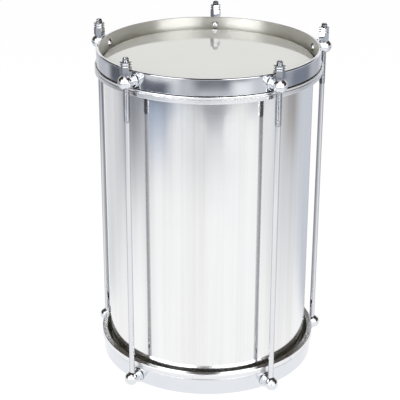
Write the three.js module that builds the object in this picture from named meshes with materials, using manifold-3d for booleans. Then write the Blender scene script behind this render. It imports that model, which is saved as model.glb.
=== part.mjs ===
// Repinique: a small two-headed metal drum, tuned by nuts on five rods outside the shell.
// Millimetres, +Z up along the drum's axis. The origin is the centre of the batter head's playing face.

import * as THREE from 'three';
import { mergeVertices } from 'three/addons/utils/BufferGeometryUtils.js';
import Module from 'manifold-3d';

const wasm = await Module();
wasm.setup();

// Fits that all pieces share
const SEAT_GAP = 0.3;
const RUNNING_GAP = 0.3;
const CUT_OVERRUN = 1;
const ON_AXIS = 1e-6;

// Tuning stations round the drum
const STATION_COUNT = 5;
const FIRST_STATION_ANGLE = Math.PI / 2;

// Shell: an 8 inch tube, each end rolled over into a bearing edge with a turned-in lip
const SHELL_LENGTH = 300;
const SHELL_RADIUS = 101.6;
const SHELL_WALL = 1.2;
const EDGE_ROLL_RADIUS = 2.2;
const EDGE_ROLL_TURN = THREE.MathUtils.degToRad(135);
const EDGE_LIP_LENGTH = 5;

// Heads: a polyester film with a collar that slopes down to the hem in its flesh hoop
const FILM_THICKNESS = 0.25;

// Flesh hoops: an aluminium channel, open towards the playing side, round the end of the shell
const FLESH_HOOP_CLEARANCE = 3.4;
const FLESH_HOOP_WIDTH = 5.3;
const FLESH_HOOP_HEIGHT = 6.8;
const FLESH_HOOP_WALL = 1.2;
const FLESH_HOOP_CORNER = 0.8;

// Hoops: a flat steel band that presses on the hem of its head
const HOOP_INSET = 0.8;
const HOOP_WALL = 2.8;
const HOOP_HEIGHT = 16.3;
const HOOP_EDGE_ROUND = 0.45;
const RIM_RISE = 11.6;

// Lugs: a turned post with a flange, a neck that widens to a ball, a cross bore and a spot-faced seat.
// Each stands a little below the middle of its band
const LUG_BALL_RADIUS = 6.7;
const LUG_BALL_BEYOND_ROD = 1.5;
const LUG_NECK_RADIUS = 4.9;
const LUG_FLANGE_RADIUS = 7.6;
const LUG_FLANGE_WIDTH = 2;
const LUG_FLANGE_EDGE = 0.4;
const LUG_SEAT_RISE = 3.4;
const LUG_SEAT_CLEARANCE = 0.3;
const LUG_TAPPED_DEPTH = 3.6;
const LUG_DROP = 0.5;

// Lug screws: a dome head inside the hoop
const SCREW_SHANK_RADIUS = 2;
const SCREW_HEAD_RADIUS = 4;
const SCREW_HEAD_HEIGHT = 2.6;
const SCREW_HEAD_EDGE = 0.5;

// Tension rods: plain between two threaded ends
const ROD_STANDOFF = 8.4;
const ROD_RADIUS = 2.6;
const ROD_THREAD_RADIUS = 3;
const ROD_THREAD_LENGTH = 65;
const ROD_TIP_LENGTH = 4.8;
const ROD_TIP_TAPER = 1.1;
const ROD_END_PROUD = 0.6;

// Tuning nuts: tall hexagon nuts, turned down to a collar that sits in the lug
const NUT_ACROSS_FLATS = 9.5;
const NUT_HEX_HEIGHT = 11.9;
const NUT_COLLAR_RADIUS = 4;
const NUT_COLLAR_HEIGHT = 2.7;
const NUT_CHAMFER = 0.7;
const NUT_GROOVE_RADIUS = 4.35;
const NUT_GROOVE_WIDTH = 0.8;
const NUT_GROOVE_DROPS = [2.2, 4.4];
const NUT_REST_TURNS = [10, 22, 13, -6, -20].map(THREE.MathUtils.degToRad);

// Facets of the round shapes
const RING_FACETS_PER_STATION = 10;
const LUG_FACETS = 12;
const SCREW_FACETS = 10;
const ROD_FACETS = 10;
const NUT_FACETS = 12;

// Rings turn on the drum's axis, with the middle of one flat facet at each station
const ringFacets = STATION_COUNT * RING_FACETS_PER_STATION;
const stationStep = 2 * Math.PI / STATION_COUNT;
const flatRadius = (radius) => radius * Math.cos(Math.PI / ringFacets);

// Radii, worked outwards from the shell
const fleshInnerRadius = SHELL_RADIUS + FLESH_HOOP_CLEARANCE;
const fleshOuterRadius = fleshInnerRadius + FLESH_HOOP_WIDTH;
const hoopInnerRadius = fleshInnerRadius + HOOP_INSET;
const hoopOuterRadius = hoopInnerRadius + HOOP_WALL;
const rodCircleRadius = hoopOuterRadius + ROD_STANDOFF;

// Heights, worked down from the batter head's playing face at zero
const shellTop = -FILM_THICKNESS - SEAT_GAP;
const shellBottom = shellTop - SHELL_LENGTH;
const resonantFace = shellBottom + shellTop;
const hoopBottom = RIM_RISE - HOOP_HEIGHT;
const hemTop = hoopBottom - SEAT_GAP;
const fleshBottom = hemTop - FLESH_HOOP_HEIGHT;
const hoopMiddle = hoopBottom + HOOP_HEIGHT / 2;
const topLugHeight = hoopMiddle - LUG_DROP;
const bottomLugHeight = resonantFace - hoopMiddle - LUG_DROP;
const nutBottom = topLugHeight + LUG_SEAT_RISE + SEAT_GAP;
const nutHexBottom = nutBottom + NUT_COLLAR_HEIGHT;
const nutTop = nutHexBottom + NUT_HEX_HEIGHT;
const rodTop = nutTop + ROD_TIP_LENGTH;
const rodBottom = bottomLugHeight - LUG_BALL_RADIUS - ROD_END_PROUD;

// Lug and screw places, outwards from the drum's axis
const lugBase = flatRadius(hoopOuterRadius) + SEAT_GAP;
const screwSeat = flatRadius(hoopInnerRadius) - SEAT_GAP;
const boreRadius = ROD_THREAD_RADIUS + RUNNING_GAP;
const tappedRadius = SCREW_SHANK_RADIUS + RUNNING_GAP;

const chrome = new THREE.MeshStandardMaterial({ color: 0xc4c6ca, roughness: 0.1, metalness: 1 });
const bandSteel = new THREE.MeshStandardMaterial({ color: 0xb6b9c0, roughness: 0.16, metalness: 1 });
const rodSteel = new THREE.MeshStandardMaterial({ color: 0xbcbfc4, roughness: 0.2, metalness: 1 });
const shellAluminium = new THREE.MeshStandardMaterial({ color: 0xdcdee2, roughness: 0.12, metalness: 1 });
const channelAluminium = new THREE.MeshStandardMaterial({ color: 0xcfcfcd, roughness: 0.35, metalness: 1 });
const headFilm = new THREE.MeshStandardMaterial({ color: 0xdfe0da, roughness: 0.22, metalness: 0 });

const repinique = new THREE.Group();

function addPiece(parent, name, geometry, material) {
  const piece = new THREE.Mesh(geometry, material);
  piece.name = name;
  parent.add(piece);
  return piece;
}

// A group whose +X runs outwards through one tuning station
function stationGroup(index) {
  const station = new THREE.Group();
  station.rotation.z = FIRST_STATION_ANGLE + index * stationStep;
  repinique.add(station);
  return station;
}

// A profile point: distance from the axis, height along it
const at = (radius, height) => new THREE.Vector2(radius, height);

// Points of an arc, with its angles counted from outwards towards up
function arc(centre, radius, from, to, steps) {
  const points = [];
  for (let step = 0; step <= steps; step += 1) {
    const angle = from + (to - from) * step / steps;
    points.push(at(centre.x + radius * Math.cos(angle), centre.y + radius * Math.sin(angle)));
  }
  return points;
}

// A profile turned about +Z; one that starts off the axis is closed on itself
function turned(profile, facets, startAngle = 0) {
  const points = profile.map((point) => at(point.x < ON_AXIS ? 0 : point.x, point.y));
  if (points[0].x > 0) {
    points.push(points[0].clone());
  }
  const geometry = new THREE.LatheGeometry(points, facets, startAngle);
  geometry.rotateX(Math.PI / 2);
  return geometry;
}

// A ring on the drum's axis, with a flat facet at each station
const turnedRing = (profile) => turned(profile, ringFacets, Math.PI / ringFacets);

// The same profile at the other end of the drum
const atResonantEnd = (profile) => profile.map((point) => at(point.x, resonantFace - point.y)).reverse();

// A profile turned about +X, for what stands out from a hoop
const turnedOutwards = (profile, facets) => turned(profile, facets).rotateY(Math.PI / 2);

function solidOf(geometry) {
  const bare = geometry.clone();
  bare.deleteAttribute('normal');
  bare.deleteAttribute('uv');
  const merged = mergeVertices(bare);
  const corners = merged.index.array;
  const kept = [];
  for (let first = 0; first < corners.length; first += 3) {
    const [a, b, c] = [corners[first], corners[first + 1], corners[first + 2]];
    if (a !== b && b !== c && c !== a) {
      kept.push(a, b, c);
    }
  }
  const vertProperties = new Float32Array(merged.attributes.position.array);
  return new wasm.Manifold(new wasm.Mesh({ numProp: 3, vertProperties, triVerts: new Uint32Array(kept) }));
}

function geometryOf(solid) {
  const mesh = solid.getMesh();
  const geometry = new THREE.BufferGeometry();
  geometry.setAttribute('position', new THREE.BufferAttribute(new Float32Array(mesh.vertProperties), 3));
  geometry.setIndex(new THREE.BufferAttribute(new Uint32Array(mesh.triVerts), 1));
  geometry.computeVertexNormals();
  return geometry;
}

// Shell

// One rolled end, from the outer wall over the bearing edge to the inner wall
function rolledEnd() {
  const centre = at(SHELL_RADIUS - EDGE_ROLL_RADIUS, shellTop - EDGE_ROLL_RADIUS);
  const lip = at(-Math.sin(EDGE_ROLL_TURN), Math.cos(EDGE_ROLL_TURN)).multiplyScalar(EDGE_LIP_LENGTH);
  const outside = arc(centre, EDGE_ROLL_RADIUS, 0, EDGE_ROLL_TURN, 3);
  const inside = arc(centre, EDGE_ROLL_RADIUS - SHELL_WALL, EDGE_ROLL_TURN, 0, 2);
  const lipOutside = outside[outside.length - 1].clone().add(lip);
  const lipInside = inside[0].clone().add(lip);
  return [...outside, lipOutside, lipInside, ...inside];
}

function shellGeometry() {
  const topEnd = rolledEnd();
  return turnedRing([...topEnd, ...atResonantEnd(topEnd)]);
}

// Heads

// The film lies flat, wraps the bearing edge, slopes to the flesh hoop and ends in a hem in its channel
function filmProfile() {
  const roll = at(SHELL_RADIUS - EDGE_ROLL_RADIUS, shellTop - EDGE_ROLL_RADIUS);
  const wrapRadius = EDGE_ROLL_RADIUS + SEAT_GAP + FILM_THICKNESS;
  const collarFoot = at(hoopInnerRadius - SEAT_GAP, hemTop);
  const reach = collarFoot.clone().sub(roll);
  const slope = Math.atan2(reach.x, reach.y) - Math.acos(wrapRadius / reach.length());
  const onWrap = (radius, angle) => at(roll.x + radius * Math.sin(angle), roll.y + radius * Math.cos(angle));
  const mitre = FILM_THICKNESS * Math.tan(slope / 2);
  const hemInner = fleshInnerRadius + FLESH_HOOP_WALL + SEAT_GAP;
  const hemOuter = fleshOuterRadius - FLESH_HOOP_WALL - SEAT_GAP;
  const hemBottom = fleshBottom + FLESH_HOOP_WALL + SEAT_GAP;
  return [
    at(0, -FILM_THICKNESS),
    at(roll.x, -FILM_THICKNESS),
    onWrap(wrapRadius - FILM_THICKNESS, slope),
    at(collarFoot.x - mitre, hemTop - FILM_THICKNESS),
    at(hemInner, hemTop - FILM_THICKNESS),
    at(hemInner, hemBottom),
    at(hemOuter, hemBottom),
    at(hemOuter, hemTop),
    collarFoot,
    onWrap(wrapRadius, slope),
    onWrap(wrapRadius, slope / 2),
    at(roll.x, 0),
    at(0, 0),
  ];
}

// Flesh hoops

// The channel's inner wall stops under the film that passes over it
function channelProfile() {
  const floor = fleshBottom + FLESH_HOOP_WALL;
  const innerWallTop = hemTop - FILM_THICKNESS - SEAT_GAP;
  return [
    at(fleshInnerRadius + FLESH_HOOP_CORNER, fleshBottom),
    at(fleshOuterRadius - FLESH_HOOP_CORNER, fleshBottom),
    at(fleshOuterRadius, fleshBottom + FLESH_HOOP_CORNER),
    at(fleshOuterRadius, hemTop),
    at(fleshOuterRadius - FLESH_HOOP_WALL, hemTop),
    at(fleshOuterRadius - FLESH_HOOP_WALL, floor),
    at(fleshInnerRadius + FLESH_HOOP_WALL, floor),
    at(fleshInnerRadius + FLESH_HOOP_WALL, innerWallTop),
    at(fleshInnerRadius, innerWallTop),
    at(fleshInnerRadius, fleshBottom + FLESH_HOOP_CORNER),
  ];
}

// Hoops

function bandProfile() {
  return [
    at(hoopInnerRadius + HOOP_EDGE_ROUND, hoopBottom),
    at(hoopOuterRadius - HOOP_EDGE_ROUND, hoopBottom),
    at(hoopOuterRadius, hoopBottom + HOOP_EDGE_ROUND),
    at(hoopOuterRadius, RIM_RISE - HOOP_EDGE_ROUND),
    at(hoopOuterRadius - HOOP_EDGE_ROUND, RIM_RISE),
    at(hoopInnerRadius + HOOP_EDGE_ROUND, RIM_RISE),
    at(hoopInnerRadius, RIM_RISE - HOOP_EDGE_ROUND),
    at(hoopInnerRadius, hoopBottom + HOOP_EDGE_ROUND),
  ];
}

// A band with one screw hole at each station
function drilledHoop(profile, holeHeight) {
  let band = solidOf(turnedRing(profile));
  const drillStart = flatRadius(hoopInnerRadius) - CUT_OVERRUN;
  const drillEnd = hoopOuterRadius + CUT_OVERRUN;
  for (let index = 0; index < STATION_COUNT; index += 1) {
    const drill = turnedOutwards([
      at(0, drillStart),
      at(tappedRadius, drillStart),
      at(tappedRadius, drillEnd),
      at(0, drillEnd),
    ], SCREW_FACETS);
    drill.rotateZ(FIRST_STATION_ANGLE + index * stationStep);
    drill.translate(0, 0, holeHeight);
    band = band.subtract(solidOf(drill));
  }
  return geometryOf(band);
}

// Lugs

// The post is turned along its own axis, tapped from its base, then bored and spot-faced across it
function lugGeometry(seatRadius) {
  const ballCentre = at(0, rodCircleRadius + LUG_BALL_BEYOND_ROD - lugBase);
  const neck = at(LUG_NECK_RADIUS, LUG_FLANGE_WIDTH).sub(ballCentre);
  const ballStart = Math.atan2(neck.y, neck.x) + Math.acos(LUG_BALL_RADIUS / neck.length());
  const post = turnedOutwards([
    at(0, LUG_TAPPED_DEPTH),
    at(tappedRadius, LUG_TAPPED_DEPTH),
    at(tappedRadius, 0),
    at(LUG_FLANGE_RADIUS - LUG_FLANGE_EDGE, 0),
    at(LUG_FLANGE_RADIUS, LUG_FLANGE_EDGE),
    at(LUG_FLANGE_RADIUS, LUG_FLANGE_WIDTH - LUG_FLANGE_EDGE),
    at(LUG_NECK_RADIUS, LUG_FLANGE_WIDTH),
    ...arc(ballCentre, LUG_BALL_RADIUS, ballStart, Math.PI / 2, 4),
  ], LUG_FACETS);
  const boreReach = LUG_BALL_RADIUS + CUT_OVERRUN;
  const cutter = turned([
    at(0, -boreReach),
    at(boreRadius, -boreReach),
    at(boreRadius, LUG_SEAT_RISE),
    at(seatRadius, LUG_SEAT_RISE),
    at(seatRadius, boreReach),
    at(0, boreReach),
  ], NUT_FACETS);
  cutter.translate(rodCircleRadius - lugBase, 0, 0);
  return geometryOf(solidOf(post).subtract(solidOf(cutter)));
}

// Lug screws

// The head's flat lies at zero, its dome towards the drum's axis and its shank outwards
function screwGeometry() {
  const shankEnd = lugBase + LUG_TAPPED_DEPTH - SEAT_GAP - screwSeat;
  const domeRise = SCREW_HEAD_HEIGHT - SCREW_HEAD_EDGE;
  const domeRadius = (SCREW_HEAD_RADIUS ** 2 + domeRise ** 2) / (2 * domeRise);
  const domeCentre = at(0, domeRadius - SCREW_HEAD_HEIGHT);
  const rimAngle = Math.asin(SCREW_HEAD_RADIUS / domeRadius);
  return turnedOutwards([
    ...arc(domeCentre, domeRadius, -Math.PI / 2, rimAngle - Math.PI / 2, 2),
    at(SCREW_HEAD_RADIUS, 0),
    at(SCREW_SHANK_RADIUS, 0),
    at(SCREW_SHANK_RADIUS, shankEnd),
    at(0, shankEnd),
  ], SCREW_FACETS);
}

// Tension rods

function rodGeometry() {
  const tipRadius = ROD_THREAD_RADIUS - ROD_TIP_TAPER;
  const threadEnd = rodTop - ROD_THREAD_LENGTH;
  const runOut = ROD_THREAD_RADIUS - ROD_RADIUS;
  const lowerThreadStart = bottomLugHeight + LUG_SEAT_RISE;
  return turned([
    at(0, rodBottom),
    at(tipRadius, rodBottom),
    at(ROD_THREAD_RADIUS, rodBottom + ROD_TIP_TAPER),
    at(ROD_THREAD_RADIUS, lowerThreadStart),
    at(ROD_RADIUS, lowerThreadStart + runOut),
    at(ROD_RADIUS, threadEnd),
    at(ROD_THREAD_RADIUS, threadEnd + runOut),
    at(ROD_THREAD_RADIUS, rodTop - ROD_TIP_TAPER),
    at(tipRadius, rodTop),
    at(0, rodTop),
  ], ROD_FACETS);
}

// Tuning nuts

// A hexagon bar cut to the outline that a lathe gives it: bore, collar, chamfers and ring grooves
function nutGeometry() {
  const cornerRadius = NUT_ACROSS_FLATS / Math.sqrt(3);
  const hexagon = new THREE.Shape();
  for (let corner = 0; corner < 6; corner += 1) {
    const angle = corner * Math.PI / 3;
    const move = corner === 0 ? 'moveTo' : 'lineTo';
    hexagon[move](cornerRadius * Math.cos(angle), cornerRadius * Math.sin(angle));
  }
  hexagon.closePath();
  const bar = new THREE.ExtrudeGeometry(hexagon, { depth: nutTop - nutBottom, bevelEnabled: false });
  bar.translate(0, 0, nutBottom);
  const clearRadius = cornerRadius + CUT_OVERRUN;
  const chamferRun = NUT_CHAMFER + CUT_OVERRUN;
  const grooves = NUT_GROOVE_DROPS.toReversed().flatMap((drop) => [
    at(clearRadius, nutTop - drop - NUT_GROOVE_WIDTH),
    at(NUT_GROOVE_RADIUS, nutTop - drop - NUT_GROOVE_WIDTH),
    at(NUT_GROOVE_RADIUS, nutTop - drop),
    at(clearRadius, nutTop - drop),
  ]);
  const envelope = turned([
    at(boreRadius, nutBottom - CUT_OVERRUN),
    at(NUT_COLLAR_RADIUS, nutBottom - CUT_OVERRUN),
    at(NUT_COLLAR_RADIUS, nutHexBottom),
    at(cornerRadius - NUT_CHAMFER, nutHexBottom),
    at(clearRadius, nutHexBottom + chamferRun),
    ...grooves,
    at(clearRadius, nutTop - chamferRun),
    at(cornerRadius - chamferRun, nutTop + CUT_OVERRUN),
    at(boreRadius, nutTop + CUT_OVERRUN),
  ], NUT_FACETS);
  return geometryOf(solidOf(bar).intersect(solidOf(envelope)));
}

addPiece(repinique, 'shell', shellGeometry(), shellAluminium);
addPiece(repinique, 'batter_head', turnedRing(filmProfile()), headFilm);
addPiece(repinique, 'resonant_head', turnedRing(atResonantEnd(filmProfile())), headFilm);
addPiece(repinique, 'batter_flesh_hoop', turnedRing(channelProfile()), channelAluminium);
addPiece(repinique, 'resonant_flesh_hoop', turnedRing(atResonantEnd(channelProfile())), channelAluminium);
addPiece(repinique, 'top_hoop', drilledHoop(bandProfile(), topLugHeight), bandSteel);
addPiece(repinique, 'bottom_hoop', drilledHoop(atResonantEnd(bandProfile()), bottomLugHeight), bandSteel);

const topLug = lugGeometry(NUT_COLLAR_RADIUS + LUG_SEAT_CLEARANCE);
const bottomLug = lugGeometry(boreRadius + LUG_SEAT_CLEARANCE);
const screw = screwGeometry();
const rod = rodGeometry();
const nut = nutGeometry();
for (let index = 0; index < STATION_COUNT; index += 1) {
  const station = stationGroup(index);
  const number = index + 1;
  for (const [end, lug, height] of [['top', topLug, topLugHeight], ['bottom', bottomLug, bottomLugHeight]]) {
    addPiece(station, `${end}_lug_${number}`, lug, chrome).position.set(lugBase, 0, height);
    addPiece(station, `${end}_lug_screw_${number}`, screw, chrome).position.set(screwSeat, 0, height);
  }
  addPiece(station, `tension_rod_${number}`, rod, rodSteel).position.set(rodCircleRadius, 0, 0);
  const tuningNut = addPiece(station, `tuning_nut_${number}`, nut, chrome);
  tuningNut.position.set(rodCircleRadius, 0, 0);
  tuningNut.rotation.z = NUT_REST_TURNS[index % NUT_REST_TURNS.length];
}

export default repinique;
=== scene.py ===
# %% [markdown]
# # A repinique in polished aluminium and chrome
# A repinique is a small, loud, two-headed drum. Its shell is a plain tube, and five long rods
# outside the shell pull the top hoop down, which stretches the upper head.
# The CAD model gives the sizes and the joints. This lesson dresses it: every piece is built again
# with smooth curves, real threads and procedural metals, and rides on the body that moves it.

# %% Load the CAD frame
import math

import bmesh
import bpy
from mathutils import Matrix, Vector


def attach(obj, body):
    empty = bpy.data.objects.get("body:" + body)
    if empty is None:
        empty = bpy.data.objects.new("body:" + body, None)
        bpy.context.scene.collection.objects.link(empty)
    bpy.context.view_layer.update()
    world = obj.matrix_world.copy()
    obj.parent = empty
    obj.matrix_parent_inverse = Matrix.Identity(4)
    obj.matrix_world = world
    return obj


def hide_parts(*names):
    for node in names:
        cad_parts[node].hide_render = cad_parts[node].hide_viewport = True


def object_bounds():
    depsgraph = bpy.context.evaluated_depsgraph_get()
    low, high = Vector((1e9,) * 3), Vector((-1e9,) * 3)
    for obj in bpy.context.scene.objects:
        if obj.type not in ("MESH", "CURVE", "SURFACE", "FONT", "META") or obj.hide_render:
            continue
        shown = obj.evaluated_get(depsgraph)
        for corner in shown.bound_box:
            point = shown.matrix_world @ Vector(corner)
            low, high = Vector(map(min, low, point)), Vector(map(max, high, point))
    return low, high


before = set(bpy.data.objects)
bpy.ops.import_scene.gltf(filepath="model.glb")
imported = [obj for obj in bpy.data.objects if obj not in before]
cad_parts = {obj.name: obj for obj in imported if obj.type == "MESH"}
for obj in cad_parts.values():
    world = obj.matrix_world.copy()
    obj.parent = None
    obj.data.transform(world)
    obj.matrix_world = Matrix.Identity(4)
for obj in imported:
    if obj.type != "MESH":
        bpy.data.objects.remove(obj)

cad_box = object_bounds()
print("CAD box, metres:", [[round(value, 4) for value in corner] for corner in cad_box])

# %% [markdown]
# ## The sizes that everything shares
# Blender works in metres, and the drum was measured in millimetres, so each size is written in
# millimetres and scaled once. The origin is the centre of the upper head, with Z up the axis.
# Five tuning stations stand round the drum, the first at the back.

# %% Sizes of the drum
MM = 0.001
STATIONS = 5
FIRST_STATION = math.pi / 2
STATION_STEP = 2 * math.pi / STATIONS

SHELL_RADIUS = 101.6 * MM
SHELL_LENGTH = 300 * MM
SHELL_WALL = 1.2 * MM
SEAT_GAP = 0.3 * MM
FILM = 0.25 * MM
FILM_TOP = 0.0
SHELL_TOP = -FILM - SEAT_GAP
RESONANT_FACE = 2 * SHELL_TOP - SHELL_LENGTH
CHANNEL_INNER = 105.0 * MM
CHANNEL_OUTER = 110.3 * MM
CHANNEL_WALL = 1.2 * MM
HOOP_INNER = 105.8 * MM
HOOP_OUTER = 108.6 * MM
HOOP_TOP = 11.6 * MM
HOOP_BOTTOM = -4.7 * MM
HEM_TOP = HOOP_BOTTOM - SEAT_GAP
CHANNEL_BOTTOM = HEM_TOP - 6.8 * MM
ROD_CIRCLE = 117.0 * MM
HOOP_MIDDLE = (HOOP_TOP + HOOP_BOTTOM) / 2
LUG_DROP = 0.5 * MM
TOP_LUG_HEIGHT = HOOP_MIDDLE - LUG_DROP
BOTTOM_LUG_HEIGHT = RESONANT_FACE - HOOP_MIDDLE - LUG_DROP
print(f"From rim to rim the drum is {(2 * HOOP_TOP - RESONANT_FACE) / MM:.1f} mm high")

# %% [markdown]
# ## Nodes without the clutter
# A material and a Geometry Nodes tree are both graphs. One small helper adds a node, sets its
# options and fills its sockets, either with a value or with a wire from another node. A few more
# build on it: sums, a ramp from one value to another, and the length of a slope.

# %% Helpers that add nodes
def add_node(tree, kind, options=None, inputs=None):
    node = tree.nodes.new(kind)
    for name, value in (options or {}).items():
        setattr(node, name, value)
    for name, value in (inputs or {}).items():
        if isinstance(value, bpy.types.NodeSocket):
            tree.links.new(value, node.inputs[name])
        else:
            node.inputs[name].default_value = value
    return node


def calc(tree, operation, first, second=0.0):
    kind = "ShaderNodeMath"
    return add_node(tree, kind, {"operation": operation}, {0: first, 1: second}).outputs[0]


def plus(tree, first, second):
    return calc(tree, "ADD", first, second)


def minus(tree, first, second):
    return calc(tree, "SUBTRACT", first, second)


def times(tree, first, second):
    return calc(tree, "MULTIPLY", first, second)


def ramp(tree, value, start, end, low=0.0, high=1.0):
    """Runs from low to high while the value runs from start to end."""
    return add_node(tree, "ShaderNodeMapRange", inputs={
        "Value": value, "From Min": start, "From Max": end,
        "To Min": low, "To Max": high}).outputs[0]


def length_of(tree, first, second):
    """The length of a slope that goes this far one way and that far the other."""
    squares = [times(tree, side, side) for side in (first, second)]
    return calc(tree, "SQRT", plus(tree, *squares))


def own_place(tree):
    """X, Y and Z of each point, on the object's own coordinates."""
    place = add_node(tree, "ShaderNodeTexCoord").outputs["Object"]
    return add_node(tree, "ShaderNodeSeparateXYZ", inputs={0: place}).outputs


print("Node helpers: sums, ramps, lengths and an object's own coordinates")

# %% [markdown]
# ## A surface that is never quite even
# Polished metal still carries marks: fine lines from the polishing wheel, faint smudges and a
# slow unevenness that bends reflections. Each of them is a noise pattern on the object's own
# coordinates. Stretching the coordinates turns noise into lines, and measuring the distance from
# the drum's axis first turns the lines into rings.

# %% Noise patterns for metal and film
def placed_noise(tree, stretch, detail=2.0, rings=False):
    if rings:
        x, y, height = own_place(tree)
        place = add_node(tree, "ShaderNodeCombineXYZ", inputs={
            0: length_of(tree, x, y), 1: calc(tree, "ARCTAN2", y, x), 2: height}).outputs[0]
    else:
        place = add_node(tree, "ShaderNodeTexCoord").outputs["Object"]
    mapped = add_node(tree, "ShaderNodeMapping", inputs={"Vector": place, "Scale": stretch})
    noise = add_node(tree, "ShaderNodeTexNoise", inputs={
        "Vector": mapped.outputs[0], "Scale": 1.0, "Detail": detail, "Roughness": 0.55})
    return noise.outputs["Fac"]


def spread(tree, value, low, high):
    """Noise keeps near a half, so its middle is spread over the whole range."""
    return ramp(tree, value, 0.3, 0.7, low, high)


def bumped(tree, layers, normal=None):
    """One bump on top of another, each a height and its depth in metres."""
    for height, depth in layers:
        inputs = {"Height": height, "Distance": depth, "Strength": 1.0}
        if normal:
            inputs["Normal"] = normal
        normal = add_node(tree, "ShaderNodeBump", inputs=inputs).outputs[0]
    return normal


def blank_material(name):
    material = bpy.data.materials.new(name)
    material.use_nodes = True
    return material, material.node_tree, material.node_tree.nodes["Principled BSDF"]


def blended(tree, factor, *pair):
    """A colour between two, each given as three numbers or as a socket."""
    first, second = [(*colour, 1) if isinstance(colour, tuple) else colour for colour in pair]
    mix = add_node(tree, "ShaderNodeMix", {"data_type": "RGBA"}, {0: factor, 6: first, 7: second})
    return mix.outputs[2]


def feeding(shader, name):
    """The socket that already feeds an input, for a new layer to build on."""
    return shader.inputs[name].links[0].from_socket


print("Pattern helpers: stretched noise, rings, bumps and blended colours")

# %% [markdown]
# ## Metals
# All the metals share one recipe. Smudges change the colour and the roughness a little, lines
# and slow waves go into the bump, and what differs is written in a table: how pale the metal
# is, how rough, how its lines run, and how deep its waves are.

# %% The metal finishes
def metal(name, pale, dull, roughness, lines, line_depth, waves, wave_depth, rings=False):
    material, tree, shader = blank_material(name)
    smudge = placed_noise(tree, (38, 38, 30), 4.0)
    brushed = placed_noise(tree, lines, 3.0, rings)
    wavy = placed_noise(tree, waves, 1.0)
    shader.inputs["Metallic"].default_value = 1.0
    tree.links.new(blended(tree, smudge, pale, dull), shader.inputs["Base Color"])
    low, high = roughness
    in_lines = spread(tree, brushed, 0.0, (high - low) / 2)
    rough = plus(tree, spread(tree, smudge, low, high), in_lines)
    tree.links.new(rough, shader.inputs["Roughness"])
    normal = bumped(tree, [(wavy, wave_depth), (brushed, line_depth)])
    tree.links.new(normal, shader.inputs["Normal"])
    return material


METALS = {
    "polished_aluminium": metal(
        "polished_aluminium", (0.94, 0.945, 0.95), (0.91, 0.915, 0.925), (0.07, 0.12),
        (14, 14, 1500), 0.002 * MM, (9, 9, 7), 0.35 * MM),
    "channel_aluminium": metal(
        "channel_aluminium", (0.90, 0.91, 0.93), (0.80, 0.81, 0.83), (0.20, 0.30),
        (2600, 1.6, 2600), 0.02 * MM, (60, 60, 60), 0.05 * MM, rings=True),
    "lug_chrome": metal(
        "lug_chrome", (0.82, 0.84, 0.87), (0.76, 0.78, 0.81), (0.02, 0.05),
        (900, 900, 900), 0.0004 * MM, (120, 120, 120), 0.006 * MM),
}
print("Metals:", ", ".join(METALS))

# %% [markdown]
# ## Drawn lines on the shell
# The tube was drawn through a die before it was polished, and faint lines still run along it
# from end to end. Noise stretched along the axis gives them: a little warmer and darker metal,
# and a bump so shallow that it only frays the edges of reflections.

# %% Drawn lines for the shell's aluminium
DRAWN_TINT = (0.76, 0.75, 0.74)
DRAWN_DEPTH = 0.02 * MM


def add_drawn_lines(material):
    tree = material.node_tree
    shader = tree.nodes["Principled BSDF"]
    fine = placed_noise(tree, (210, 210, 1.5))
    broad = placed_noise(tree, (65, 65, 2.2))
    streak = times(tree, spread(tree, fine, 0.3, 1.0), spread(tree, broad, 0.0, 0.75))
    lined = blended(tree, streak, feeding(shader, "Base Color"), DRAWN_TINT)
    tree.links.new(lined, shader.inputs["Base Color"])
    normal = bumped(tree, [(broad, DRAWN_DEPTH)], feeding(shader, "Normal"))
    tree.links.new(normal, shader.inputs["Normal"])


add_drawn_lines(METALS["polished_aluminium"])
print(f"Drawn lines on the shell are {DRAWN_DEPTH / MM} mm deep")

# %% [markdown]
# ## Painted shade on the rods
# The rods carry painted shade: their colour goes dark in the grooves of the thread, on the side
# that faces the shell, and towards their outline as the surface turns away from the view. All
# five rods share one finish, so the shader first folds every place round the drum onto one
# station, and then measures how far it lies from the middle of the rod.

# %% Steel with painted shade in its grooves, on its back and at its outline
ROD_TOP = 26.0 * MM
THREAD_FOOT = ROD_TOP - 61 * MM
CREST_RADIUS = 3 * MM
SHANK_RADIUS = 2.6 * MM
# The dark tone of the painted shade on the rods.
ROD_SHADE_TONE = (0.10, 0.10, 0.115)


def folded(tree):
    """Object coordinates turned onto the station at angle zero: outwards, sideways and up."""
    x, y, height = own_place(tree)
    reach = length_of(tree, x, y)
    half = STATION_STEP / 2
    angle = plus(tree, calc(tree, "ARCTAN2", y, x), half - FIRST_STATION)
    turn = minus(tree, calc(tree, "FLOORED_MODULO", angle, STATION_STEP), half)
    return (times(tree, reach, calc(tree, "COSINE", turn)),
            times(tree, reach, calc(tree, "SINE", turn)), height)


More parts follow.
